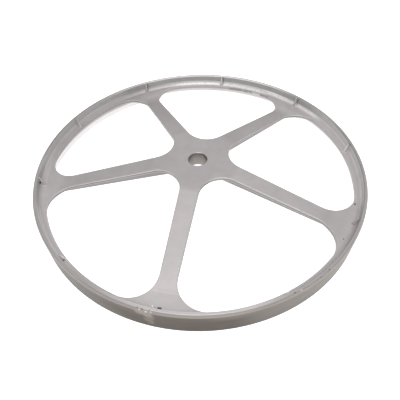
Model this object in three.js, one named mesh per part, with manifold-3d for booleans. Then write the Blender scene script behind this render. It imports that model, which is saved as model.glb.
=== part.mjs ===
// Drum pulley: a dished five-spoke belt wheel, die-cast in aluminium, for the back of a washing-machine drum.
// Millimetres, +Z up. The origin is on the wheel axis, in the plane of the rim's lower edge.
// One spoke lies along +Y. The members of the casting are separate solids with a hairline gap between them.
import * as THREE from 'three';
import { mergeVertices } from 'three/addons/utils/BufferGeometryUtils.js';
import Module from 'manifold-3d';

const wasm = await Module();
wasm.setup();

// ---- driving dimensions ----
const GAP = 0.3;               // hairline between two members
const SPOKES = 5;
const FIRST_SPOKE = Math.PI / 2;
const PITCH = (2 * Math.PI) / SPOKES;

const RIM_RADIUS = 148;        // belt track, at its lower edge
const RIM_HEIGHT = 24.4;
const RIM_WALL = 4.2;
const RIM_CHAMFER = 0.8;
const TRACK_DRAFT = 0.7;       // the track draws in this much towards the lip
const LIP_BEVEL = 1;           // width of the bevel round the lip
const LIP_BEVEL_DROP = 2.1;    // and its height

const WEB_TOP = 14;            // the flat ring inside the rim, and the foot of the dish
const WEB_INNER = 139.7;
const PLATE = 3.2;             // thickness of hub plate, spokes and web
const WEB_FILLET = 3;          // concave fillet from the web up the rim wall

const HUB_FACE = 26.4;         // the hub stands this high, so the wheel is dished
const HUB_FLAT = 38;           // radius where the spokes start to slope down
const SLOPE_END = 127;         // radius where they reach the web's level
const HUB_CUT = 42;            // radius where hub plate and spokes meet

const SPOKE_ROOT_WIDTH = 18.2; // spoke width, carried back to the axis
const SPOKE_TAPER = 0.019;     // half-width lost per millimetre outwards
const WINDOW_ROOT_RADIUS = 20.8; // the window's round end at the hub
const WINDOW_CORNER = 22;      // its two round corners at the rim

const RIB_WIDTH = 6;           // upright rib under each spoke
const RIB_FOOT = 15.6;         // height of its lower edge, carried back to the axis
const RIB_SLOPE = 0.088;       // fall of that edge per millimetre outwards

const BOSS_RADIUS = 17.5;
const BOSS_FOOT = 11.3;
const BORE_RADIUS = 8.5;
const BORE_CHAMFER = 0.5;

const RIM_RIBS = 2 * SPOKES;   // small gussets between the web and the rim's inner wall
const RIM_RIB_WIDTH = 2.6;
const RIM_RIB_DEPTH = 3.6;     // at their feet, where they reach across the web
const RIM_RIB_TIP = 0.9;       // and at their tops
const RIM_RIB_DROP = 0.7;      // their tops stay this far below the rim's edge
const RIM_RIB_SHIFTS = [-0.4, 1, 0, 0.6, -1, 1.5, 0.9, 1, -1, -0.4]; // degrees each one is off an even spacing

const RING_SEGMENTS = 120;
const BOSS_SEGMENTS = 60;
const ARC_STEPS = 5;
const TALL = 80;               // height of the cutting solids

// ---- finishes ----
const castAluminium = new THREE.MeshStandardMaterial({ color: 0xa09b9a, roughness: 0.45, metalness: 0.85 });
const spokeAluminium = new THREE.MeshStandardMaterial({ color: 0xa8a4a2, roughness: 0.42, metalness: 0.85 });
const hubAluminium = new THREE.MeshStandardMaterial({ color: 0x928d8b, roughness: 0.4, metalness: 0.85 });
const beltTrack = new THREE.MeshStandardMaterial({ color: 0x7d7265, roughness: 0.5, metalness: 0.8 });

// ---- helpers ----
function toSolid(geometry) {
  geometry.deleteAttribute('normal');
  geometry.deleteAttribute('uv');
  const merged = mergeVertices(geometry, 1e-4);
  const mesh = new wasm.Mesh({
    numProp: 3,
    vertProperties: new Float32Array(merged.attributes.position.array),
    triVerts: new Uint32Array(merged.index.array),
  });
  return new wasm.Manifold(mesh);
}

function toGeometry(solid) {
  const mesh = solid.getMesh();
  const geometry = new THREE.BufferGeometry();
  geometry.setAttribute('position', new THREE.BufferAttribute(mesh.vertProperties, 3));
  geometry.setIndex(new THREE.BufferAttribute(mesh.triVerts, 1));
  geometry.computeVertexNormals();
  return geometry;
}

// Turns a closed outline of (radius, height) points about the Z axis. The points run anticlockwise.
function turned(outline, segments) {
  const points = [...outline, outline[0]].map(([radius, height]) => new THREE.Vector2(radius, height));
  return new THREE.LatheGeometry(points, segments).rotateX(Math.PI / 2);
}

// Extrudes a side outline of (radius, height) points to a wall of that width, upright on the XZ plane.
function uprightWall(shape, width) {
  const geometry = new THREE.ExtrudeGeometry(shape, { depth: width, bevelEnabled: false, curveSegments: ARC_STEPS });
  return geometry.translate(0, 0, -width / 2).rotateX(Math.PI / 2);
}

function arcPoints(centreX, centreY, radius, from, to, steps) {
  return Array.from({ length: steps + 1 }, (_, i) => {
    const angle = from + ((to - from) * i) / steps;
    return [centreX + radius * Math.cos(angle), centreY + radius * Math.sin(angle)];
  });
}

function named(name, geometry, material) {
  const mesh = new THREE.Mesh(geometry, material);
  mesh.name = name;
  return mesh;
}

// Height of the dished plate's upper face at a radius.
function dishTop(radius) {
  const fall = THREE.MathUtils.clamp((radius - HUB_FLAT) / (SLOPE_END - HUB_FLAT), 0, 1);
  return THREE.MathUtils.lerp(HUB_FACE, WEB_TOP, fall);
}

// ---- the window between two spokes, centred on +X ----
function windowShape() {
  const half = PITCH / 2;
  const across = new THREE.Vector2(Math.sin(half), Math.cos(half));
  const along = new THREE.Vector2(Math.cos(half), -Math.sin(half));
  const edge = along.addScaledVector(across, -SPOKE_TAPER).normalize();
  const inward = new THREE.Vector2(-edge.y, edge.x);
  const edgeStart = across.multiplyScalar(SPOKE_ROOT_WIDTH / 2);

  const rootX = (WINDOW_ROOT_RADIUS + edgeStart.dot(inward)) / inward.x;
  const rootFoot = new THREE.Vector2(rootX, 0).addScaledVector(inward, -WINDOW_ROOT_RADIUS);

  const offset = edgeStart.clone().addScaledVector(inward, WINDOW_CORNER);
  const reach = WEB_INNER - WINDOW_CORNER;
  const lean = offset.dot(edge);
  const corner = offset.clone().addScaledVector(edge, -lean + Math.sqrt(lean ** 2 - offset.lengthSq() + reach ** 2));
  const cornerFoot = corner.clone().addScaledVector(inward, -WINDOW_CORNER);
  const cornerAngle = Math.atan2(corner.y, corner.x);
  const footAngle = Math.atan2(-inward.y, -inward.x);

  const shape = new THREE.Shape();
  shape.moveTo(rootFoot.x, rootFoot.y);
  shape.lineTo(cornerFoot.x, cornerFoot.y);
  shape.absarc(corner.x, corner.y, WINDOW_CORNER, footAngle, cornerAngle);
  shape.absarc(0, 0, WEB_INNER, cornerAngle, -cornerAngle);
  shape.absarc(corner.x, -corner.y, WINDOW_CORNER, -cornerAngle, -footAngle);
  shape.absarc(rootX, 0, WINDOW_ROOT_RADIUS, -footAngle, footAngle);
  return shape;
}

function windowCutters() {
  const shape = windowShape();
  return Array.from({ length: SPOKES }, (_, k) => {
    const options = { depth: TALL, bevelEnabled: false, curveSegments: ARC_STEPS };
    const geometry = new THREE.ExtrudeGeometry(shape, options);
    geometry.translate(0, 0, -TALL / 4).rotateZ(FIRST_SPOKE + PITCH * (k + 0.5));
    return toSolid(geometry);
  });
}

const windows = windowCutters();

function withWindows(geometry) {
  return windows.reduce((solid, cutter) => solid.subtract(cutter), toSolid(geometry));
}

// ---- rim ----
function beltBand() {
  const inner = RIM_RADIUS - RIM_WALL;
  const outer = RIM_RADIUS;
  const outline = [
    [inner, 0],
    [outer - RIM_CHAMFER, 0],
    [outer, RIM_CHAMFER],
    [outer - TRACK_DRAFT, RIM_HEIGHT - LIP_BEVEL_DROP],
    [outer - TRACK_DRAFT - LIP_BEVEL, RIM_HEIGHT],
    [inner, RIM_HEIGHT],
  ];
  return named('belt_band', turned(outline, RING_SEGMENTS), beltTrack);
}

// The flat ring that carries the rim, with the outer ends of the spokes flaring into it.
const WEB_OUTER = RIM_RADIUS - RIM_WALL - GAP;
const FILLET_CENTRE = [WEB_OUTER - WEB_FILLET, WEB_TOP + WEB_FILLET];

function webRing() {
  const start = SLOPE_END + GAP / 2;
  const outline = [
    [start, WEB_TOP - PLATE],
    [WEB_OUTER, WEB_TOP - PLATE],
    ...arcPoints(...FILLET_CENTRE, WEB_FILLET, 0, -Math.PI / 2, ARC_STEPS),
    [start, WEB_TOP],
  ];
  return named('web_ring', toGeometry(withWindows(turned(outline, RING_SEGMENTS))), castAluminium);
}

// A short upright gusset, standing on the web and leaning back against the rim wall.
function rimRib(index) {
  const back = WEB_OUTER;
  const front = WEB_OUTER - RIM_RIB_DEPTH;
  const [centreX, centreY] = FILLET_CENTRE;
  const clear = WEB_FILLET - GAP;
  const top = RIM_HEIGHT - RIM_RIB_DROP;
  const shape = new THREE.Shape();
  shape.moveTo(back, centreY + GAP);
  shape.lineTo(back, top);
  shape.lineTo(back - RIM_RIB_TIP, top);
  shape.lineTo(front, centreY);
  shape.absarc(centreX, centreY, clear, -Math.acos((front - centreX) / clear), 0);
  const rib = named(`rim_rib_${String(index + 1).padStart(2, '0')}`, uprightWall(shape, RIM_RIB_WIDTH), castAluminium);
  rib.rotation.z = FIRST_SPOKE + (index * PITCH) / 2 + THREE.MathUtils.degToRad(RIM_RIB_SHIFTS[index]);
  return rib;
}

// ---- spokes ----
function spokePlates() {
  const start = HUB_CUT + GAP / 2;
  const end = SLOPE_END - GAP / 2;
  const outline = [
    [start, dishTop(start) - PLATE],
    [end, dishTop(end) - PLATE],
    [end, dishTop(end)],
    [start, dishTop(start)],
  ];
  const plates = withWindows(turned(outline, RING_SEGMENTS));
  return Array.from({ length: SPOKES }, (_, k) => {
    const strip = new THREE.BoxGeometry(SLOPE_END, HUB_CUT, TALL).translate(HUB_CUT / 2 + SLOPE_END / 2, 0, 0);
    const one = plates.intersect(toSolid(strip.rotateZ(FIRST_SPOKE + PITCH * k)));
    return named(`spoke_plate_${k + 1}`, toGeometry(one), spokeAluminium);
  });
}

// The upright rib under a spoke, from the boss to the rim wall.
function spokeRib(index) {
  const start = BOSS_RADIUS + GAP;
  const under = PLATE + GAP;
  const foot = (radius) => RIB_FOOT - RIB_SLOPE * radius;
  const shape = new THREE.Shape();
  shape.moveTo(start, foot(start));
  shape.lineTo(WEB_OUTER, foot(WEB_OUTER));
  shape.lineTo(WEB_OUTER, WEB_TOP - under);
  shape.lineTo(SLOPE_END, WEB_TOP - under);
  shape.lineTo(HUB_FLAT, HUB_FACE - under);
  shape.lineTo(start, HUB_FACE - under);
  const rib = named(`spoke_rib_${index + 1}`, uprightWall(shape, RIB_WIDTH), spokeAluminium);
  rib.rotation.z = FIRST_SPOKE + PITCH * index;
  return rib;
}

// ---- hub ----
function hubPlate() {
  const end = HUB_CUT - GAP / 2;
  const outline = [
    [BORE_RADIUS, HUB_FACE - PLATE],
    [HUB_FLAT, HUB_FACE - PLATE],
    [end, dishTop(end) - PLATE],
    [end, dishTop(end)],
    [HUB_FLAT, HUB_FACE],
    [BORE_RADIUS + BORE_CHAMFER, HUB_FACE],
    [BORE_RADIUS, HUB_FACE - BORE_CHAMFER],
  ];
  return named('hub_plate', toGeometry(withWindows(turned(outline, RING_SEGMENTS))), hubAluminium);
}

function hubBoss() {
  const top = HUB_FACE - PLATE - GAP;
  const outline = [
    [BORE_RADIUS, BOSS_FOOT + BORE_CHAMFER],
    [BORE_RADIUS + BORE_CHAMFER, BOSS_FOOT],
    [BOSS_RADIUS - BORE_CHAMFER, BOSS_FOOT],
    [BOSS_RADIUS, BOSS_FOOT + BORE_CHAMFER],
    [BOSS_RADIUS, top],
    [BORE_RADIUS, top],
  ];
  return named('hub_boss', turned(outline, BOSS_SEGMENTS), hubAluminium);
}

// ---- assembly ----
const rim = new THREE.Group();
rim.add(beltBand(), webRing());
for (let i = 0; i < RIM_RIBS; i += 1) rim.add(rimRib(i));

const spider = new THREE.Group();
spider.add(...spokePlates());
for (let k = 0; k < SPOKES; k += 1) spider.add(spokeRib(k));

const hub = new THREE.Group();
hub.add(hubPlate(), hubBoss());

const pulley = new THREE.Group();
pulley.add(rim, spider, hub);

export default pulley;
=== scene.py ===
"""Drum pulley: the looks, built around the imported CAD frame.

The casting's surface is one signed distance field, in millimetres, with the fillets, drafts and rounded
edges that the plain CAD solids leave out. It is meshed on a polar grid and cut into the belt band, the rim,
five spokes and the hub, which stand for the CAD nodes. Neighbours share the points along their cuts, so no
seam shows.
"""

import math

import bmesh
import bpy
import numpy as np
from mathutils import Matrix, Vector


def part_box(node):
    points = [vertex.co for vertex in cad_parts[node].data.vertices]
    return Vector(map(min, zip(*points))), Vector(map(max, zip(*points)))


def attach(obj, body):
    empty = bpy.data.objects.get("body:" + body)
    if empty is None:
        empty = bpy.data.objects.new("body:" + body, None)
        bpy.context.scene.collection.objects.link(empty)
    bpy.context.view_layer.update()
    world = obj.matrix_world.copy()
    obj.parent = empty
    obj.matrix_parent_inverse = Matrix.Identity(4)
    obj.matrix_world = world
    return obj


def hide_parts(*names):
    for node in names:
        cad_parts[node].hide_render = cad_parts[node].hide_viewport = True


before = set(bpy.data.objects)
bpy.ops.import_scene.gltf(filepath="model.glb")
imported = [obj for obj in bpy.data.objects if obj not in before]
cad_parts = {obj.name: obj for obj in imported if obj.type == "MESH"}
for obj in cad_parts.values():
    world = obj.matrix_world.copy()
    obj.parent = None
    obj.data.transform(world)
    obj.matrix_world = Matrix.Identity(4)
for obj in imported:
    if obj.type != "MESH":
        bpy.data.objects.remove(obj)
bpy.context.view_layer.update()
MM = 0.001

# ---- sizes in millimetres, from the frame ----
BAND_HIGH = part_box("belt_band")[1]
BOSS_LOW, BOSS_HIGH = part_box("hub_boss")
RIM_R = BAND_HIGH.x / MM
RIM_H = BAND_HIGH.z / MM
HUB_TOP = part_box("hub_plate")[1].z / MM
BOSS_FOOT = BOSS_LOW.z / MM
BOSS_R = BOSS_HIGH.x / MM

SPOKES = 5
PITCH = 2 * math.pi / SPOKES
FIRST_SPOKE = math.pi / 2

# ---- other sizes in millimetres, and slopes and drafts as a share of the run ----
WALL = 4.2
WALL_IN = RIM_R - WALL
WALL_DRAFT = 0.02
WALL_MID = RIM_R - WALL / 2 - 0.5  # plates, ribs and gussets end here, inside the wall
TRACK_DRAFT = 0.7 / 22  # the track draws in towards the lip
BEVEL_TOP = (RIM_R - 1.7, RIM_H)  # the bevel round the lip, as radius and height
BEVEL_FOOT = (RIM_R - 0.7, RIM_H - 2.1)
WEB_TOP = 14.0
WEB_IN = 139.7
PLATE = 3.2
HUB_FLAT = 38.0
SLOPE_END = 127.0
SLOPE = (HUB_TOP - WEB_TOP) / (SLOPE_END - HUB_FLAT)
CREASE = 2.5  # half the width over which a crease of the dish is rounded

SPOKE_HALF = 9.1  # half a spoke's width, carried in to the axis
TAPER = 0.019
ROOT_R = 20.8  # radius of a window's corner at the hub
CORNER_R = 22.0  # radius of its two corners at the web

BORE_R = 8.5
BORE_CHAMFER = 0.5
PLATE_DRAFT = 0.03
BOSS_DRAFT = 0.03
RIB_FOOT, RIB_SLOPE = 15.6, 0.088  # height of the rib's lower edge, carried in to the axis, and its fall
RIB_HALF, RIB_DRAFT, RIB_ROUND = 2.3, 0.06, 1.0
RIDGE_HALF, RIDGE_DRAFT, RIDGE_ROUND = 1.2, 0.05, 0.7  # a ridge is one of the rim's gussets
RIDGE_IN = WALL_IN - 3.6
RIDGE_LEAN = 0.26
RIDGE_TOP = RIM_H - 0.7
RIDGE_SHIFTS = (-0.4, 1.0, 0.0, 0.6, -1.0, 1.5, 0.9, 1.0, -1.0, -0.4)  # degrees off an even spacing

WEB_FILLET = 2.8
WEB_RISE = 0.2  # slope of the web up to the rim wall
UNDER_FILLET = 2.0
BOSS_FILLET, RIB_FILLET, RIDGE_FILLET = 2.5, 1.5, 0.6
EDGE = 0.5
NO_FILLET = 1e-6


# ---- the signed distance field: negative inside the metal ----
def round_join(a, b, radius):
    """Union of two fields with a concave fillet of that radius."""
    corner = np.hypot(np.maximum(radius - a, 0), np.maximum(radius - b, 0))
    return np.maximum(radius, np.minimum(a, b)) - corner


def round_cut(a, b, radius):
    """Intersection of two fields with a rounded edge of that radius."""
    corner = np.hypot(np.maximum(radius + a, 0), np.maximum(radius + b, 0))
    return np.minimum(-radius, np.maximum(a, b)) + corner


def soft_ramp(x):
    """max(x, 0) with its corner rounded over CREASE to each side."""
    bend = (x + CREASE) ** 2 / (4 * CREASE)
    return np.where(x < -CREASE, 0.0, np.where(x > CREASE, x, bend))


def dish_top(r):
    """Height of the plate's upper face: flat hub, sloping spokes, flat web."""
    fall = SLOPE * (soft_ramp(r - HUB_FLAT) - soft_ramp(r - SLOPE_END))
    return HUB_TOP - fall + WEB_RISE * np.maximum(r - WEB_IN, 0)


def window_outline():
    """Half a window in its own frame, with its middle along +X and a spoke above.

    Gives the straight edge's direction, the way into the window, the edge's start, and the centres of the
    root circle and of the corner circle.
    """
    half = PITCH / 2
    along = np.array([math.cos(half), math.sin(half)])
    across = np.array([math.sin(half), -math.cos(half)])
    edge = along - TAPER * across
    edge /= np.linalg.norm(edge)
    inward = np.array([edge[1], -edge[0]])
    start = across * SPOKE_HALF
    root = np.array([(ROOT_R + start @ inward) / inward[0], 0.0])
    offset = start + inward * CORNER_R
    lean = offset @ edge
    reach = WEB_IN - CORNER_R
    corner = offset + edge * (-lean + math.sqrt(lean**2 - offset @ offset + reach**2))
    return edge, inward, start, root, corner


W_EDGE, W_IN, W_START, W_ROOT, W_CORNER = window_outline()


def beyond_window(r, theta):
    """How far a point lies outside the nearest window: positive in the metal.

    The window's edge is an arc at the hub, a straight side, an arc at the corner and an arc along the web.
    """
    x = r * np.cos(PITCH / 2 - np.abs(theta))
    y = r * np.abs(np.sin(PITCH / 2 - np.abs(theta)))
    side = -((x - W_START[0]) * W_IN[0] + (y - W_START[1]) * W_IN[1])
    away = np.maximum(side, r - WEB_IN)
    root_foot = W_ROOT - W_IN * ROOT_R
    at_root = (x - root_foot[0]) * W_EDGE[0] + (y - root_foot[1]) * W_EDGE[1] < 0
    away = np.where(at_root, np.hypot(x - W_ROOT[0], y - W_ROOT[1]) - ROOT_R, away)
    corner_foot = W_CORNER - W_IN * CORNER_R
    past_side = (x - corner_foot[0]) * W_EDGE[0] + (y - corner_foot[1]) * W_EDGE[1] > 0
    before_web = W_CORNER[0] * y - W_CORNER[1] * x > 0
    at_corner = past_side & before_web
    return np.where(at_corner, np.hypot(x - W_CORNER[0], y - W_CORNER[1]) - CORNER_R, away)


def from_ridge(turn):
    """Angle to the nearest of the rim's gussets."""
    gap = PITCH / 2
    nearest = np.round(turn / gap).astype(int)
    shift = np.radians(RIDGE_SHIFTS)[nearest % (2 * SPOKES)]
    return turn - nearest * gap - shift


def spoked_plate(r, theta, z, top):
    """The dished plate with its windows cut out."""
    level = math.cos(math.atan(SLOPE))
    faces = np.maximum(z - top, top - PLATE - z) * level
    plate = round_cut(-beyond_window(r, theta) - PLATE_DRAFT * (top - z), faces, EDGE)
    return np.maximum(plate, r - WALL_MID)


def boss(r, z):
    """The round boss under the hub."""
    side = r - BOSS_R - BOSS_DRAFT * (z - BOSS_FOOT)
    return np.maximum(round_cut(side, BOSS_FOOT - z, EDGE), z - HUB_TOP + PLATE / 2)


def rib(r, theta, z, top):
    """The upright rib under the nearest spoke, from inside the boss to inside the wall."""
    along = r * np.cos(theta)
    foot = RIB_FOOT - RIB_SLOPE * along
    side = np.abs(r * np.sin(theta)) - RIB_HALF - RIB_DRAFT * (z - foot)
    shape = np.maximum(round_cut(side, foot - z, RIB_ROUND), z - top + PLATE / 2)
    return np.maximum(shape, np.maximum(BOSS_R - 2 - along, r - WALL_MID))


def rim_wall(r, z):
    """The rim's wall: the belt track with its bevel outside, and a slight draft inside."""
    run, drop = BEVEL_FOOT[0] - BEVEL_TOP[0], BEVEL_TOP[1] - BEVEL_FOOT[1]
    bevel = (drop * (r - BEVEL_TOP[0]) + run * (z - BEVEL_TOP[1])) / math.hypot(run, drop)
    outside = np.maximum(r - RIM_R + TRACK_DRAFT * z, bevel)
    inside = WALL_IN + WALL_DRAFT * np.abs(z - WEB_TOP) - r
    return round_cut(np.maximum(outside, inside), np.maximum(-z, z - RIM_H), EDGE)


def ridge(r, turn, z):
    """The nearest of the rim's gussets, which leans in towards its foot on the web."""
    side = np.abs(r * np.sin(from_ridge(turn))) - RIDGE_HALF + RIDGE_DRAFT * (z - WEB_TOP)
    front = RIDGE_IN + RIDGE_LEAN * (z - WEB_TOP) - r
    ends = np.maximum(np.maximum(front, z - RIDGE_TOP), WEB_TOP - 1 - z)
    return np.maximum(round_cut(side, ends, RIDGE_ROUND), r - WALL_MID)


def outside_bore(r, z):
    """Everything but the bore and its two chamfers."""
    chamfers = np.maximum(BORE_CHAMFER - (HUB_TOP - z), BORE_CHAMFER - (z - BOSS_FOOT))
    return np.maximum(BORE_R - r, (chamfers - (r - BORE_R)) * math.sqrt(0.5))


def field(r, turn, z):
    """The casting at radius r, angle turn from the first spoke and height z, in millimetres and radians."""
    theta = (turn + PITCH / 2) % PITCH - PITCH / 2
    top = dish_top(r)
    under = z < top - PLATE / 2
    inside_wall = r < WALL_MID - 1

    plate = spoked_plate(r, theta, z, top)
    body = round_join(plate, boss(r, z), np.where(under, BOSS_FILLET, NO_FILLET))
    body = round_join(body, rib(r, theta, z, top), np.where(under, RIB_FILLET, NO_FILLET))
    fillet = np.where(under, UNDER_FILLET, WEB_FILLET)
    body = round_join(body, rim_wall(r, z), np.where(inside_wall, fillet, NO_FILLET))
    body = round_join(body, ridge(r, turn, z), np.where(inside_wall, RIDGE_FILLET, NO_FILLET))
    return np.maximum(body, outside_bore(r, z))


# ---- the polar grid, and the radii at which the surface is cut into pieces ----
HUB_CUT, RIM_CUT, BAND_CUT = 42.0, 127.0, 145.8
CUTS = (HUB_CUT, RIM_CUT, BAND_CUT)
CUT_MARGIN = 2.0  # no thinning this near a cut
OUTER_SIDE, INNER_SIDE = BEVEL_TOP[0] - 0.6, WALL_IN - 0.4  # nor outside these radii
FOOT_ZONE, LIP_ZONE = 1.2, 0.8  # this near the rim's foot, its bevel or its lip
ON_CUT = 0.01  # a point this near a cut lies on it
PASSES = 4  # times that the net's points are moved towards the surface
MOVE_LIMIT = 0.3  # the furthest that a point moves in a pass
LEAST_STEEP = 0.3  # a flatter field counts as this steep
LEAST_SLIDE = 0.4  # the same for a point that may only slide along a cut


def stretch(*runs):
    """Grid lines from (start, end, step) runs."""
    lines = []
    for start, end, step in runs:
        lines.append(np.linspace(start, end, max(1, round((end - start) / step)), endpoint=False))
    return np.concatenate([*lines, [runs[-1][1]]])


R_LINES = stretch((8.1, 12.0, 0.3), (12.0, 30.0, 0.8), (30.0, 46.0, 0.6), (46.0, 116.0, 1.1),
                  (116.0, 136.0, 0.7), (136.0, 148.5, 0.4))
Z_LINES = stretch((-0.5, 1.5, 0.35), (1.5, 21.0, 0.55), (21.0, 27.0, 0.4))
HALF_PITCH = math.degrees(PITCH / 2)
HALF_SECTOR = stretch((0.0, 12.0, 0.22), (12.0, HALF_PITCH - 1.5, 0.55),
                      (HALF_PITCH - 1.5, HALF_PITCH, 0.22))
THETA_LINES = np.radians(np.concatenate([-HALF_SECTOR[:0:-1], HALF_SECTOR[:-1]]))
CUT_ROWS = {cut: int(np.searchsorted(R_LINES, cut) - 1) for cut in CUTS}
CORNERS = [(i, j, k) for i in (0, 1) for j in (0, 1) for k in (0, 1)]  # of a grid cell


def gradient(points):
    """Unit gradient of the field at Cartesian points, and its size."""
    step = 0.02
    slopes = np.empty_like(points)
    for axis in range(3):
        shift = np.zeros(3)
        shift[axis] = step
        slopes[:, axis] = at(points + shift) - at(points - shift)
    size = np.linalg.norm(slopes, axis=1, keepdims=True)
    return slopes / np.maximum(size, 1e-9), size[:, 0] / (2 * step)


def at(points):
    """The field at Cartesian points."""
    turn = np.arctan2(points[:, 1], points[:, 0]) - FIRST_SPOKE
    return field(np.hypot(points[:, 0], points[:, 1]), turn, points[:, 2])


def sample_field():
    """The field at each grid point all round, and the grid's angles with the first one repeated."""
    sectors = []
    for k in range(SPOKES):
        turn = THETA_LINES + k * PITCH
        sector = field(R_LINES[:, None, None], turn[None, :, None], Z_LINES[None, None, :])
        sectors.append(sector.astype(np.float32))
    angles = np.concatenate([THETA_LINES + FIRST_SPOKE + k * PITCH for k in range(SPOKES)])
    return np.concatenate(sectors, axis=1), np.append(angles, angles[0] + 2 * math.pi)


def crossed_cells(inside):
    """Which grid cells the surface passes through. The grid's second axis wraps round."""
    rows, columns, layers = inside.shape
    count = np.zeros((rows - 1, columns, layers - 1), np.int8)
    for i, j, k in CORNERS:
        count += np.roll(inside, -j, axis=1)[i:rows - 1 + i, :, k:layers - 1 + k]
    return (count > 0) & (count < len(CORNERS))


def cell_points(value, angles, cells):
    """A point in each crossed cell: the mean of the places where the cell's edges cross the surface."""
    ci, cj, ck = cells.T
    columns = value.shape[1]
    total = np.zeros((len(cells), 3))
    hits = np.zeros(len(cells))
    for start in CORNERS:
        for axis in range(3):
            if start[axis]:
                continue
            end = tuple(c + (n == axis) for n, c in enumerate(start))
            before = value[ci + start[0], (cj + start[1]) % columns, ck + start[2]]
            after = value[ci + end[0], (cj + end[1]) % columns, ck + end[2]]
            cross = (before < 0) != (after < 0)
            spot = np.array(start, float)[None, :].repeat(len(cells), 0)
            spot[:, axis] += np.where(cross, before / np.where(cross, before - after, 1), 0)
            total += spot * cross[:, None]
            hits += cross
    mean = total / hits[:, None]
    radius = R_LINES[ci] + mean[:, 0] * (R_LINES[ci + 1] - R_LINES[ci])
    turn = angles[cj] + mean[:, 1] * (angles[cj + 1] - angles[cj])
    height = Z_LINES[ck] + mean[:, 2] * (Z_LINES[ck + 1] - Z_LINES[ck])
    return np.stack([radius * np.cos(turn), radius * np.sin(turn), height], 1)


def cell_quads(inside, crossed):
    """A quad for each grid edge that crosses the surface, joining the points of the four cells round it."""
    index = np.full(crossed.shape, -1, np.int64)
    index[crossed] = np.arange(crossed.sum())
    quads = []
    for axis in range(3):
        if axis == 1:
            start, end = inside, np.roll(inside, -1, axis=1)
        else:
            low, high = [slice(None)] * 3, [slice(None)] * 3
            low[axis], high[axis] = slice(0, -1), slice(1, None)
            start, end = inside[tuple(low)], inside[tuple(high)]
        edges = np.argwhere(start != end)
        others = [n for n in range(3) if n != axis]
        for n in others:
            if n != 1:
                edges = edges[(edges[:, n] > 0) & (edges[:, n] < crossed.shape[n])]
        ring = []
        for first_step, second_step in ((0, 0), (-1, 0), (-1, -1), (0, -1)):
            cell = edges.copy()
            cell[:, others[0]] += first_step
            cell[:, others[1]] += second_step
            cell[:, 1] %= crossed.shape[1]
            ring.append(index[tuple(cell.T)])
        ring = np.stack(ring, 1)
        flip = start[tuple(edges.T)] == (axis == 1)
        ring[flip] = ring[flip][:, ::-1]
        quads.append(ring)
    return np.concatenate(quads)


def surface_net():
    """The zero surface all round the wheel: its points, the grid row of each point's cell, and its quads."""
    value, angles = sample_field()
    inside = value < 0
    crossed = crossed_cells(inside)
    cells = np.argwhere(crossed)
    return cell_points(value, angles, cells), cells[:, 0], cell_quads(inside, crossed)


def to_radius(points, held, radii):
    """Moves the held points straight in or out to their radii."""
    r = np.hypot(points[held, 0], points[held, 1])
    points[held, :2] *= (radii[held] / r)[:, None]


def settle(points, rows):
    """Moves the points onto the zero surface. Points in a cut's row keep exactly the cut's radius."""
    radii = np.zeros(len(points))
    for cut, row in CUT_ROWS.items():
        radii[rows == row] = cut
    held = radii > 0
    for _ in range(PASSES):
        to_radius(points, held, radii)
        normal, steep = gradient(points)
        radial = points / np.maximum(np.hypot(points[:, 0], points[:, 1]), 1e-9)[:, None]
        radial[:, 2] = 0
        slide = normal - radial * (normal * radial).sum(1, keepdims=True)
        size = np.linalg.norm(slide, axis=1, keepdims=True)
        slide = slide / np.maximum(size, 1e-6)
        move = np.clip(-at(points) / np.maximum(steep, LEAST_STEEP), -MOVE_LIMIT, MOVE_LIMIT)
        along = np.where(held[:, None], slide / np.maximum(size, LEAST_SLIDE), normal)
        points = points + along * move[:, None]
    to_radius(points, held, radii)
    return points


# ---- pieces ----
def from_cut(r):
    """Distance from each radius to the nearest cut."""
    return np.min([np.abs(r - cut) for cut in CUTS], axis=0)


def keep_edges(piece):
    """A vertex group for what may be thinned: all but the cuts' sides and the rim's round edges."""
    group = piece.vertex_groups.new(name="thin")
    places = np.empty(len(piece.data.vertices) * 3)
    piece.data.vertices.foreach_get("co", places)
    x, y, z = places.reshape(-1, 3).T / MM
    r = np.hypot(x, y)
    outer_edges = (r > OUTER_SIDE) & ((z < FOOT_ZONE) | (z > BEVEL_FOOT[1] - LIP_ZONE))
    inner_edge = (r > INNER_SIDE) & (z > RIM_H - LIP_ZONE)
    kept = (from_cut(r) < CUT_MARGIN) | outer_edges | inner_edge
    group.add(np.flatnonzero(~kept).tolist(), 1.0, "REPLACE")
    return group.name


def snap(points):
    """Puts the points back onto the zero surface and inside the CAD box, except those on a cut."""
    r = np.hypot(points[:, 0], points[:, 1])
    free = from_cut(r) > ON_CUT
    normal, steep = gradient(points[free])
    points[free] -= normal * (at(points[free]) / np.maximum(steep, LEAST_STEEP))[:, None]
    points[:, :2] *= np.minimum(1, (RIM_R - 0.001) / np.hypot(points[:, 0], points[:, 1]))[:, None]
    points[:, 2] = np.clip(points[:, 2], 0, HUB_TOP)
    return points


def thin(piece, share):
    """Merges the small quads of flat and evenly curved stretches."""
    modifier = piece.modifiers.new("thin", "DECIMATE")
    modifier.ratio = share
    modifier.vertex_group = keep_edges(piece)
    modifier.vertex_group_factor = 1.0
    graph = bpy.context.evaluated_depsgraph_get()
    mesh = bpy.data.meshes.new_from_object(piece.evaluated_get(graph))
    piece.modifiers.clear()
    piece.vertex_groups.clear()
    places = np.empty(len(mesh.vertices) * 3)
    mesh.vertices.foreach_get("co", places)
    mesh.vertices.foreach_set("co", (snap(places.reshape(-1, 3) / MM) * MM).ravel())
    piece.data = mesh


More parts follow.
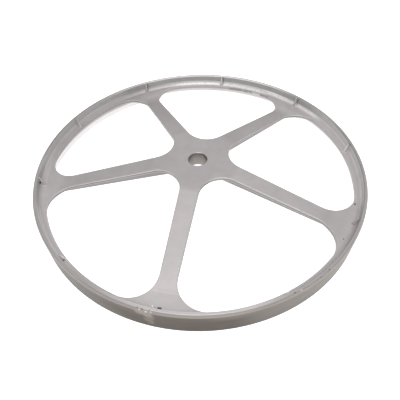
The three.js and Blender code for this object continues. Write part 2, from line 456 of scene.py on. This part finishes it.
def close(piece):
    """Closes the open loops that the cuts left.

    The two circles of the band's cut are joined by a strip. Each spoke section becomes a fan round a point
    on the cut, in the middle of the plate, from where the whole section can be seen.
    """
    mesh = bmesh.new()
    mesh.from_mesh(piece.data)
    open_edges = [e for e in mesh.edges if e.is_boundary]
    circles = [e for e in open_edges if abs(math.hypot(*e.verts[0].co.xy) / MM - BAND_CUT) < ON_CUT]
    sections = [e for e in open_edges if e not in set(circles)]
    if circles:
        bmesh.ops.bridge_loops(mesh, edges=circles)
    if sections:
        bmesh.ops.holes_fill(mesh, edges=sections)
    centres = bmesh.ops.poke(mesh, faces=[f for f in mesh.faces if len(f.verts) > 4])["verts"]
    for centre in centres:
        r = math.hypot(*centre.co.xy) / MM
        cut = min(CUTS, key=lambda radius: abs(radius - r))
        centre.co = (*(centre.co.xy * cut / r), float(dish_top(cut) - PLATE / 2) * MM)
    bmesh.ops.recalc_face_normals(mesh, faces=mesh.faces)
    mesh.to_mesh(piece.data)
    mesh.free()


def shade(piece):
    """Smooth shading with the field's own normals, except on the hidden cut faces."""
    mesh = piece.data
    mesh.polygons.foreach_set("use_smooth", [True] * len(mesh.polygons))
    places = np.empty(len(mesh.vertices) * 3)
    mesh.vertices.foreach_get("co", places)
    places = places.reshape(-1, 3) / MM
    normals, _ = gradient(places)
    on_cut = from_cut(np.hypot(places[:, 0], places[:, 1])) < ON_CUT
    corner = np.empty(len(mesh.loops), int)
    mesh.loops.foreach_get("vertex_index", corner)
    corner_normals = normals[corner]
    for face in mesh.polygons:
        if on_cut[list(face.vertices)].all():
            for loop in face.loop_indices:
                corner_normals[loop] = face.normal
    mesh.normals_split_custom_set(corner_normals.tolist())


def add_piece(name, quads, share, material, stands_for):
    """A closed mesh object made from those quads of the net, with that share of its faces kept."""
    used, flat = np.unique(quads, return_inverse=True)
    mesh = bpy.data.meshes.new(name)
    mesh.from_pydata((NET_POINTS[used] * MM).tolist(), [], flat.reshape(-1, 4).tolist())
    piece = bpy.data.objects.new(name, mesh)
    bpy.context.scene.collection.objects.link(piece)
    thin(piece, share)
    close(piece)
    shade(piece)
    piece.data.name = name
    piece.data.materials.append(material)
    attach(piece, "root")
    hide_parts(*stands_for)


# ---- materials ----
# stretches of the wheel, as (middle angle, half width, soft edge) in degrees
# painted highlight and painted glint on the far fillet
FAR_FILLET_HIGHLIGHT, GLINTING = (54, 21, 3), (18, 13, 4)
# painted shade on the far stretch of the rim's inner wall
DIM_WALL = (54, 27, 6)
# stretches where the lip is worn and carries a painted highlight
FAR_WORN_AND_LIT, NEAR_WORN_AND_LIT = (65, 40, 12), (243, 22, 10)
# painted shadow along the lip's inner edge at the near right
SHADED_LIP_EDGE = (318, 36, 8)
# painted shade on the web's left stretch
DARK_WEB = (122, 26, 10)
LIT_CHAMFER = (53, 15, 8)
# painted shade on the right side of the near left spoke
DARK_SIDE = (250, 13, 1.5)
# patches of painted shade on the web's flash at the far right
FLASH_SHADE_PATCHES = (39, 11, 2)
DIM_WEB_EDGE = (62, 38, 6)
# painted shade on two flared spoke ends, and a painted highlight on one crease
DARK_FLARE, DIM_FLARE = (306, 12, 4), (162, 12, 4)
LIT_CREASE = (234.6, 4.4, 0.5)
# stretches of the track with painted light, the pale one as a painted sheen
RIGHT_TRACK, NEAR_TRACK, PALE_TRACK, LEFT_TRACK = (306, 47, 6), (264, 13, 7), (287, 15, 10), (178, 38, 10)
FAR_GUSSETS = (17.0, 53.6, 89.6)  # middle angles in degrees

# marks, as (angle in degrees, radius, height, size) in millimetres
# the dark marks are mostly painted shadow at the feet of the rim's gussets; the rest are small dark spots
DARK_MARKS = ((233.8, 140.4, 14.3, 2.4), (232.4, 141.2, 14.3, 2.2), (197.6, 142.6, 15.0, 2.4),
              (198.4, 142.8, 16.6, 2.2), (162.7, 143.8, 18.6, 1.5), (322.4, 146.6, 23.8, 0.9),
              (307.8, 142.6, 14.6, 1.4), (299.6, 139.3, 14.0, 0.7), (316.0, 139.8, 14.0, 0.9))
BRIGHT_MARKS = ((231.6, 138.8, 14.0, 0.7), (161.4, 79.9, 14.0, 1.5))
TRACK_SCUFFS = ((229.2, 147.4, 20.0, 3.4), (231.3, 147.5, 18.4, 3.8), (231.8, 147.6, 14.5, 3.4),
                (231.4, 147.7, 10.6, 3.2), (232.0, 147.8, 7.2, 2.6), (275.5, 147.3, 22.0, 1.8))
LIP_NICKS = ((229.4, 146.9, 23.2, 0.8), (231.2, 147.1, 22.6, 1.1), (232.6, 146.9, 23.2, 0.8),
             (273.6, 146.6, 24.0, 0.9))
LIP_PITS = ((271.5, 146.0, 24.4, 0.6), (280.6, 146.6, 24.2, 0.6), (284.2, 145.9, 24.4, 0.6),
            (230.2, 146.6, 24.2, 0.6), (228.8, 146.2, 24.4, 0.5), (232.2, 145.8, 24.4, 0.5))


class Finish:
    """A material whose node tree is written as formulas of the place on the wheel, in millimetres."""

    def __init__(self, name):
        self.material = bpy.data.materials.new(name)
        self.material.use_nodes = True
        self.tree = self.material.node_tree
        self.shader = self.tree.nodes["Principled BSDF"]
        place = self.add("ShaderNodeTexCoord").outputs["Object"]
        self.place = self.shade(place, 1 / MM)
        axes = self.add("ShaderNodeSeparateXYZ", {0: self.place})
        self.x, self.y, self.z = axes.outputs
        self.radius = self.calc("SQRT", self.line(self.x, self.x, self.times(self.y, self.y)))
        facing = self.add("ShaderNodeNewGeometry").outputs["Normal"]
        self.tilt = self.calc("ABSOLUTE", self.add("ShaderNodeSeparateXYZ", {0: facing}).outputs["Z"])
        self.steep = self.fade(self.tilt, 0.75, 0.4)

    def add(self, kind, inputs=None, **settings):
        node = self.tree.nodes.new(kind)
        for key, value in settings.items():
            setattr(node, key, value)
        for key, value in (inputs or {}).items():
            if isinstance(value, bpy.types.NodeSocket):
                self.tree.links.new(value, node.inputs[key])
            else:
                node.inputs[key].default_value = value
        return node

    def calc(self, operation, *values):
        return self.add("ShaderNodeMath", dict(enumerate(values)), operation=operation).outputs[0]

    def line(self, value, slope, start):
        """start + slope * value."""
        return self.calc("MULTIPLY_ADD", value, slope, start)

    def without(self, mask):
        """1 where the mask is 0."""
        return self.calc("SUBTRACT", 1.0, mask)

    def times(self, first, *others):
        for other in others:
            first = self.calc("MULTIPLY", first, other)
        return first

    def fade(self, value, start, end):
        """0 at start and beyond it, 1 at end, with soft ends."""
        inputs = {"Value": value, "From Min": start, "From Max": end}
        return self.add("ShaderNodeMapRange", inputs, interpolation_type="SMOOTHSTEP").outputs[0]

    def band(self, value, low, high, soft):
        """1 between low and high."""
        above = self.fade(value, low - soft, low + soft)
        return self.times(above, self.fade(value, high + soft, high - soft))

    def toward(self, angle, half_width, soft=3.0):
        """1 on the stretch of the wheel that lies within half_width of the angle, in degrees."""
        angle = math.radians(angle)
        reach = self.line(self.x, math.cos(angle), self.times(self.y, math.sin(angle)))
        facing = self.calc("DIVIDE", reach, self.radius)
        ends = [math.cos(math.radians(half_width + side * soft)) for side in (1, -1)]
        return self.fade(facing, *ends)

    def spots(self, marks, ragged, soft=0.4):
        """1 inside any of the marks, with ragged edges."""
        total = 0.0
        for angle, radius, height, size in marks:
            angle = math.radians(angle)
            spot = (radius * math.cos(angle), radius * math.sin(angle), height)
            away = self.add("ShaderNodeVectorMath", {0: self.place, 1: spot}, operation="DISTANCE")
            distance = self.line(ragged, size, away.outputs["Value"])
            total = self.calc("MAXIMUM", total, self.fade(distance, (1.1 + soft) * size, 1.1 * size))
        return total

    def noise(self, size, detail=2.0, stretch=None):
        """Cloudy noise whose blotches are about that many millimetres across."""
        place = self.place
        if stretch:
            stretched = self.add("ShaderNodeVectorMath", {0: place, 1: stretch}, operation="MULTIPLY")
            place = stretched.outputs[0]
        inputs = {"Vector": place, "Scale": 1 / size, "Detail": detail, "Roughness": 0.55}
        return self.add("ShaderNodeTexNoise", inputs).outputs["Fac"]

    def blend(self, factor, first, second):
        """The first colour where the factor is 0, the second where it is 1."""
        node = self.add("ShaderNodeMix", {0: factor}, data_type="RGBA")
        for socket, value in ((node.inputs[6], first), (node.inputs[7], second)):
            if isinstance(value, bpy.types.NodeSocket):
                self.tree.links.new(value, socket)
            else:
                socket.default_value = (*value, 1)
        return node.outputs[2]

    def shade(self, colour, factor):
        """The colour, or other vector, times a number."""
        return self.add("ShaderNodeVectorMath", {0: colour, "Scale": factor}, operation="SCALE").outputs[0]

    def tone(self, colour, where, change):
        """The colour, lighter or darker by that share where the mask is 1."""
        return self.shade(colour, self.line(where, change, 1.0))

    def swing(self, noise, amount):
        """A factor that swings round 1 by that much with the noise."""
        return self.line(noise, 2 * amount, 1 - amount)

    def finish(self, colour, metallic, roughness, height, depth):
        """depth is in millimetres for a height of 1."""
        bump = self.add("ShaderNodeBump", {"Height": height, "Strength": 1.0, "Distance": depth * MM})
        wanted = {"Base Color": colour, "Metallic": metallic, "Roughness": roughness}
        wanted["Normal"] = bump.outputs[0]
        for name, value in wanted.items():
            socket = self.shader.inputs[name]
            if isinstance(value, bpy.types.NodeSocket):
                self.tree.links.new(value, socket)
            else:
                socket.default_value = value
        return self.material


def dish_depth(finish):
    """Millimetres below the plate's upper face."""
    run = finish.calc("MINIMUM", finish.calc("MAXIMUM", finish.radius, HUB_FLAT), SLOPE_END)
    top = finish.line(run, -SLOPE, HUB_TOP + SLOPE * HUB_FLAT)
    return finish.calc("SUBTRACT", top, finish.z)


def worn_and_lit_lip(finish):
    """1 where the lip is worn and carries a painted highlight, at the far side and at the near left."""
    return finish.calc("MAXIMUM", finish.toward(*FAR_WORN_AND_LIT), finish.toward(*NEAR_WORN_AND_LIT))


def far_fillet(finish, colour, flakes):
    """Painted highlight in flecks on the fillet between web and wall at the far side, and a painted glint to
    their right.
    """
    fillet_highlight = finish.times(finish.toward(*FAR_FILLET_HIGHLIGHT), finish.band(finish.radius, 140.5, 146.0, 0.4))
    fillet_highlight = finish.times(fillet_highlight, finish.band(finish.z, 13.4, 17.4, 0.4), finish.fade(flakes, 0.25, 0.6))
    fillet_highlight = finish.times(fillet_highlight, finish.fade(finish.tilt, 0.3, 0.5))
    colour = finish.blend(fillet_highlight, colour, (0.8, 0.785, 0.78))
    glint = finish.times(finish.toward(*GLINTING), finish.band(finish.radius, 141.9, 146.0, 0.3))
    glint = finish.times(glint, finish.band(finish.z, 14.9, 17.8, 0.4), finish.fade(flakes, 0.2, 0.5))
    return finish.blend(glint, colour, (0.88, 0.865, 0.86))


def wall_tones(finish, colour, blotches, upper, lower):
    """The rim wall seen from inside: painted shade above the web, darker on the far stretch, and bare metal
    well below it.
    """
    wall_colour = finish.blend(finish.toward(*DIM_WALL), (0.38, 0.37, 0.365), (0.27, 0.262, 0.258))
    colour = finish.blend(upper, colour, finish.shade(wall_colour, finish.swing(blotches, 0.15)))
    return finish.blend(lower, colour, (0.9, 0.885, 0.88))


def lip_tones(finish, colour):
    """The lip's inner half: painted shade where it isn't worn and lit, with a painted highlight on the inner
    edge where it is.
    """
    worn_and_lit = worn_and_lit_lip(finish)
    top = finish.fade(finish.z, RIM_H - 0.6, RIM_H - 0.3)
    face = finish.times(finish.fade(finish.radius, 143.4, 144.0), top)
    colour = finish.tone(colour, finish.times(face, finish.without(worn_and_lit)), -0.25)
    edge = finish.band(finish.radius, 143.4, 144.5, 0.2)
    edge = finish.times(edge, finish.fade(finish.z, RIM_H - 1.3, RIM_H - 0.9), worn_and_lit)
    colour = finish.blend(finish.times(edge, 0.6), colour, (0.9, 0.88, 0.88))
    # painted shadow along the lip's inner edge at the near right
    lip_shadow = finish.times(finish.toward(*SHADED_LIP_EDGE), finish.band(finish.radius, 143.0, 144.3, 0.2))
    return finish.tone(colour, finish.times(lip_shadow, finish.fade(finish.z, 22.8, 23.4)), -0.45)


def bore_tones(finish, colour):
    """The bore's wall, darker towards its top, and a painted highlight on the far side of its upper chamfer.
    """
    wall = finish.fade(finish.radius, 9.0, 8.7)
    wall_colour = finish.tone((0.66, 0.61, 0.58), finish.fade(finish.z, 20.5, 24.5), -0.36)
    colour = finish.blend(finish.times(wall, 0.85), colour, wall_colour)
    chamfer = finish.times(finish.toward(*LIT_CHAMFER), finish.fade(finish.radius, 9.3, 9.0), 0.35)
    chamfer = finish.times(chamfer, finish.fade(finish.z, HUB_TOP - 0.7, HUB_TOP - 0.5))
    return finish.blend(chamfer, colour, (0.92, 0.9, 0.89))


def plate_sides(finish, colour, side, on_spokes):
    """Painted shade on the plate's steep sides, a little less on the spokes, and most on the right of the
    near left spoke.
    """
    colour = finish.tone(colour, side, -0.42)
    spoke_side = finish.times(side, on_spokes)
    colour = finish.tone(colour, spoke_side, 0.16)
    return finish.tone(colour, finish.times(spoke_side, finish.toward(*DARK_SIDE)), -0.45)


def web_edge(finish, colour, depth, inside_rim, on_spokes):
    """The web's edge along the windows: uneven patches of painted shade on its flash at the far right, and
    painted shade just below the top.
    """
    flash_shade = finish.times(finish.toward(*FLASH_SHADE_PATCHES), finish.band(finish.radius, 139.0, 140.4, 0.3))
    flash_shade = finish.times(flash_shade, finish.fade(finish.z, 13.9, 13.5))
    patches = finish.fade(finish.noise(9, 2.0), 0.42, 0.58)
    flash_shade_colour = finish.blend(patches, (0.25, 0.24, 0.235), (0.5, 0.49, 0.49))
    colour = finish.blend(flash_shade, colour, flash_shade_colour)
    side = finish.times(finish.steep, inside_rim, finish.without(on_spokes))
    side = finish.times(side, finish.fade(depth, 0.1, 0.5), finish.fade(depth, 1.2, 0.8))
    colour = finish.tone(colour, side, -0.35)
    # painted shade on a far stretch of the web's edge
    dim = finish.times(finish.toward(*DIM_WEB_EDGE), finish.band(finish.radius, 139.4, 140.8, 0.3))
    return finish.tone(colour, finish.times(dim, finish.fade(finish.z, 13.6, 13.8)), -0.18)


def spoke_ends(finish, colour):
    """Painted shade on two of the spokes' flared ends, and a faint painted highlight along one spoke's
    crease.
    """
    flares = finish.times(finish.toward(*DIM_FLARE), 0.6)
    flares = finish.calc("MAXIMUM", finish.toward(*DARK_FLARE), flares)
    flares = finish.times(flares, finish.band(finish.radius, 118.0, 137.0, 5.0))
    colour = finish.tone(colour, flares, -0.13)
    crease = finish.times(finish.toward(*LIT_CREASE), finish.band(finish.radius, 126.8, 127.6, 0.4))
    return finish.tone(colour, crease, 0.12)


def gusset_sides(finish, colour):
    """Painted shade on the far gussets' right sides."""
    for angle in FAR_GUSSETS:
        side = finish.times(finish.toward(angle - 0.85, 0.35, 0.15), finish.fade(finish.z, 14.6, 15.4))
        side = finish.times(side, finish.band(finish.radius, 139.8, 146.0, 0.4))
        side = finish.times(side, finish.fade(finish.z, 23.8, 23.2))
        colour = finish.tone(colour, side, -0.38)
    return colour


def spoke_undersides(finish, colour, depth, side, on_spokes):
    """A line of painted shadow below each spoke's rounded edge, and painted shade on the ribs."""
    spoke_side = finish.times(side, on_spokes)
    colour = finish.tone(colour, finish.times(spoke_side, finish.fade(depth, 2.3, 1.6)), -0.55)
    edge = finish.times(finish.band(finish.tilt, 0.35, 0.93, 0.04), finish.fade(depth, 1.2, 0.9))
    colour = finish.tone(colour, finish.times(edge, on_spokes), -0.1)
    return finish.tone(colour, finish.times(spoke_side, finish.fade(depth, 2.6, 3.4)), -0.3)


def cast_aluminium(name, tone):
    finish = Finish(name)
    clouds = finish.noise(34)
    tint = finish.noise(21, 1.0)
    blotches = finish.noise(6, 3.0)
    grain = finish.noise(0.7, 2.0)
    flakes = finish.noise(1.6, 3.0)

    depth = dish_depth(finish)
    inside_rim = finish.fade(finish.radius, 142.6, 141.8)
    on_spokes = finish.fade(finish.radius, 139.0, 133.0)
    side = finish.times(finish.steep, inside_rim, finish.fade(depth, 0.7, 1.2))
    # the inner wall above the web, which gets painted shade and is made less metallic
    upper_wall = finish.times(finish.band(finish.radius, 142.9, 146.0, 0.4), finish.steep)
    upper_wall = finish.times(upper_wall, finish.band(finish.z, 18.0, 23.8, 0.5))
    lower_wall = finish.times(finish.fade(finish.radius, 142.4, 143.2), finish.fade(finish.z, 6.6, 4.6))
    dark_web = finish.times(finish.toward(*DARK_WEB), finish.fade(finish.radius, 122.0, 130.0))

    mottle = finish.times(tone, finish.swing(clouds, 0.12), finish.swing(blotches, 0.07))
    colour = finish.shade(finish.blend(tint, (0.575, 0.53, 0.55), (0.56, 0.54, 0.52)), mottle)
    colour = far_fillet(finish, colour, flakes)
    colour = wall_tones(finish, colour, blotches, upper_wall, lower_wall)
    colour = lip_tones(finish, colour)
    # painted shade on the web's left stretch
    colour = finish.tone(colour, dark_web, -0.22)
    colour = bore_tones(finish, colour)
    colour = plate_sides(finish, colour, side, on_spokes)
    colour = web_edge(finish, colour, depth, inside_rim, on_spokes)
    colour = spoke_ends(finish, colour)
    colour = gusset_sides(finish, colour)
    colour = spoke_undersides(finish, colour, depth, side, on_spokes)
    colour = finish.blend(finish.spots(DARK_MARKS, flakes), colour, (0.02, 0.017, 0.016))
    colour = finish.blend(finish.spots(BRIGHT_MARKS, flakes), colour, (0.95, 0.93, 0.93))

    metallic = finish.line(finish.fade(finish.radius, 114.0, 130.0), -0.45, 0.9)
    metallic = finish.calc("MAXIMUM", finish.line(upper_wall, -0.3, metallic), lower_wall)
    height = finish.line(grain, 0.12, finish.times(blotches, 0.6))
    return finish.finish(colour, metallic, finish.line(blotches, 0.16, 0.38), height, 0.25)


def track_stretches(finish, colour, smears):
    """Paler towards the top, painted light on stretches at the right, the near right and the left, and a
    darker foot.
    """
    paler_top = finish.fade(finish.line(smears, 9.0, finish.z), 17.0, 27.0)
    colour = finish.blend(finish.times(paler_top, 0.5), colour, (0.12, 0.1, 0.085))
    right = finish.times(finish.toward(*RIGHT_TRACK), finish.swing(smears, 0.2))
    colour = finish.blend(right, colour, (0.14, 0.122, 0.107))
    upper = finish.fade(finish.line(smears, 6.0, finish.z), 16.0, 24.0)
    upper = finish.times(finish.toward(*NEAR_TRACK), upper, 0.75)
    colour = finish.blend(upper, colour, (0.15, 0.132, 0.115))
    colour = finish.tone(colour, finish.toward(*PALE_TRACK), 0.13)
    left = finish.times(finish.toward(*LEFT_TRACK), 0.6)
    colour = finish.blend(left, colour, (0.115, 0.104, 0.095))
    return finish.tone(colour, finish.fade(finish.z, 11.0, 5.0), -0.1)


def track_lip(finish, colour, smears):
    """The bevel and the lip's outer half, paler than the track."""
    bevel = finish.fade(finish.z, BEVEL_FOOT[1] - 2.2, BEVEL_FOOT[1] + 0.5)
    bevel_colour = finish.shade((0.285, 0.26, 0.243), finish.swing(smears, 0.25))
    colour = finish.blend(bevel, colour, bevel_colour)
    top = finish.fade(finish.z, RIM_H - 0.4, RIM_H - 0.1)
    # the lip's top is paler where it is worn and carries a painted highlight
    lip_colour = finish.blend(worn_and_lit_lip(finish), (0.42, 0.395, 0.395), (0.5, 0.475, 0.475))
    return finish.blend(top, colour, finish.shade(lip_colour, finish.swing(smears, 0.15)))


def track_marks(finish, colour, smears, flakes):
    """A scuff that is strongest near the lip, nicks and pits."""
    strength = finish.line(finish.fade(finish.z, 13.0, 18.0), 0.42, 0.36)
    scuff = finish.times(finish.spots(TRACK_SCUFFS, smears, 0.9), strength)
    scuff_colour = finish.shade((0.27, 0.24, 0.21), finish.swing(flakes, 0.5))
    colour = finish.blend(scuff, colour, scuff_colour)
    colour = finish.blend(finish.spots(LIP_NICKS, flakes), colour, (0.5, 0.48, 0.46))
    return finish.blend(finish.spots(LIP_PITS, flakes), colour, (0.03, 0.026, 0.024))


def belt_track(name):
    finish = Finish(name)
    clouds = finish.noise(40, 3.0)
    turning = finish.noise(0.8, 1.0, (0.02, 0.02, 1.0))
    smears = finish.noise(9, 3.0, (0.3, 0.3, 1.0))
    flakes = finish.noise(1.6, 3.0)

    colour = finish.blend(clouds, (0.076, 0.05, 0.04), (0.066, 0.053, 0.037))
    colour = track_stretches(finish, colour, smears)
    colour = finish.shade(colour, finish.times(finish.swing(smears, 0.18), finish.swing(turning, 0.08)))
    colour = track_lip(finish, colour, smears)
    colour = track_marks(finish, colour, smears, flakes)

    height = finish.line(turning, 0.3, finish.times(smears, 0.3))
    return finish.finish(colour, 0.8, finish.line(smears, 0.2, 0.35), height, 0.15)


# ---- the pieces, built ----
CAST = cast_aluminium("cast_aluminium", 1.0)
HUB = cast_aluminium("hub_face", 1.02)
TRACK = belt_track("belt_track")

net_points, net_rows, NET_QUADS = surface_net()
NET_POINTS = settle(net_points, net_rows)
quad_rows = net_rows[NET_QUADS]
inner_row, outer_row = quad_rows.min(1), quad_rows.max(1)
quad_angle = np.arctan2(NET_POINTS[NET_QUADS[:, 0], 1], NET_POINTS[NET_QUADS[:, 0], 0])
quad_spoke = np.round((quad_angle - FIRST_SPOKE) / PITCH).astype(int) % SPOKES

in_band = inner_row >= CUT_ROWS[BAND_CUT]
in_rim = (inner_row >= CUT_ROWS[RIM_CUT]) & ~in_band
in_hub = outer_row <= CUT_ROWS[HUB_CUT]
in_spokes = ~(in_band | in_rim | in_hub)

add_piece("belt_band_casting", NET_QUADS[in_band], 0.5, TRACK, ["belt_band"])
ridges = [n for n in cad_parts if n.startswith("rim_rib")]
add_piece("rim_casting", NET_QUADS[in_rim], 0.5, CAST, ["web_ring", *ridges])
for k in range(SPOKES):
    quads = NET_QUADS[in_spokes & (quad_spoke == k)]
    nodes = [f"spoke_plate_{k + 1}", f"spoke_rib_{k + 1}"]
    add_piece(f"spoke_casting_{k + 1}", quads, 0.6, CAST, nodes)
add_piece("hub_casting", NET_QUADS[in_hub], 0.3, HUB, ["hub_plate", "hub_boss"])

# ---- camera ----
AZIMUTH = math.radians(-24.222)  # the photographer stands this far round from -Y
ELEVATION = math.radians(44.386)
DISTANCE = 0.3332  # metres from the point on the axis at the web's level, where it first looks
PAN, TILT, ROLL = math.radians(1.254), math.radians(-6.496), math.radians(1.52)
LENS, SENSOR = 31.86, 36.0  # millimetres
SHIFT = (0.0221, 0.0233)


def add_camera():
    """The photographer's camera, which looks at the wheel's middle and is then panned, tilted and rolled."""
    data = bpy.data.cameras.new("camera")
    camera = bpy.data.objects.new("camera", data)
    bpy.context.scene.collection.objects.link(camera)
    bpy.context.scene.camera = camera
    level = math.cos(ELEVATION)
    back = Vector((math.sin(AZIMUTH) * level, -math.cos(AZIMUTH) * level, math.sin(ELEVATION)))
    forward = -back
    right = forward.cross(Vector((0, 0, 1))).normalized()
    up = right.cross(forward)
    turn = Matrix.Rotation(PAN, 3, up)
    forward, right = turn @ forward, turn @ right
    turn = Matrix.Rotation(TILT, 3, right)
    forward, up = turn @ forward, turn @ up
    turn = Matrix.Rotation(ROLL, 3, forward)
    right, up = turn @ right, turn @ up
    camera.matrix_world = Matrix((
        (right.x, up.x, -forward.x, back.x * DISTANCE),
        (right.y, up.y, -forward.y, back.y * DISTANCE),
        (right.z, up.z, -forward.z, back.z * DISTANCE + WEB_TOP * MM),
        (0, 0, 0, 1),
    ))
    data.sensor_width = SENSOR
    data.lens = LENS
    data.shift_x, data.shift_y = SHIFT
    data.clip_start, data.clip_end = 0.01, 20


add_camera()

# ---- studio ----
# (sine of the height above the horizon, grey)
SKY = ((0.0, 0.5), (0.12, 0.4), (0.3, 0.22), (0.7, 0.34), (0.9, 0.38), (1.0, 0.75))
SKY_STRENGTH = 2.0
SKY_TILT = (0.11, -0.05, 0.0)  # brighter towards the viewer's right


def add_world():
    """A soft pale room: pale at the horizon, greyer above it, and brightest overhead."""
    world = bpy.data.worlds.new("studio")
    bpy.context.scene.world = world
    world.use_nodes = True
    nodes, links = world.node_tree.nodes, world.node_tree.links
    place = nodes.new("ShaderNodeTexCoord")
    split = nodes.new("ShaderNodeSeparateXYZ")
    ramp = nodes.new("ShaderNodeValToRGB")
    links.new(place.outputs["Generated"], split.inputs[0])
    links.new(split.outputs["Z"], ramp.inputs[0])
    while len(ramp.color_ramp.elements) < len(SKY):
        ramp.color_ramp.elements.new(0.5)
    for element, (height, value) in zip(ramp.color_ramp.elements, SKY):
        element.position = height
        element.color = (value, value, value, 1)
    links.new(ramp.outputs["Color"], nodes["Background"].inputs["Color"])
    tilt = nodes.new("ShaderNodeVectorMath")
    tilt.operation = "DOT_PRODUCT"
    tilt.inputs[1].default_value = [SKY_STRENGTH * part for part in SKY_TILT]
    links.new(place.outputs["Generated"], tilt.inputs[0])
    strength = nodes.new("ShaderNodeMath")
    strength.inputs[1].default_value = SKY_STRENGTH
    links.new(tilt.outputs["Value"], strength.inputs[0])
    links.new(strength.outputs[0], nodes["Background"].inputs["Strength"])


def add_floor():
    """A plain white floor that glows a little, so that it stays white all round the wheel."""
    bpy.ops.mesh.primitive_plane_add(size=8)
    floor = bpy.context.object
    floor.name = "floor"
    material = bpy.data.materials.new("floor")
    material.use_nodes = True
    bsdf = material.node_tree.nodes["Principled BSDF"]
    bsdf.inputs["Base Color"].default_value = (0.8, 0.8, 0.8, 1)
    bsdf.inputs["Roughness"].default_value = 0.9
    bsdf.inputs["Emission Color"].default_value = (1, 1, 1, 1)
    bsdf.inputs["Emission Strength"].default_value = 0.8
    floor.data.materials.append(material)


def add_softbox(name, spot, size, power):
    """A round soft light that faces the wheel."""
    light = bpy.data.lights.new(name, "AREA")
    light.shape = "DISK"
    light.size = size
    light.energy = power
    lamp = bpy.data.objects.new(name, light)
    bpy.context.scene.collection.objects.link(lamp)
    lamp.location = spot
    lamp.rotation_euler = (-Vector(spot)).to_track_quat("-Z", "Y").to_euler()


bpy.context.scene.view_settings.view_transform = "Standard"
add_world()
add_floor()
add_softbox("overhead", spot=(-0.35, -0.75, 1.6), size=0.9, power=9)
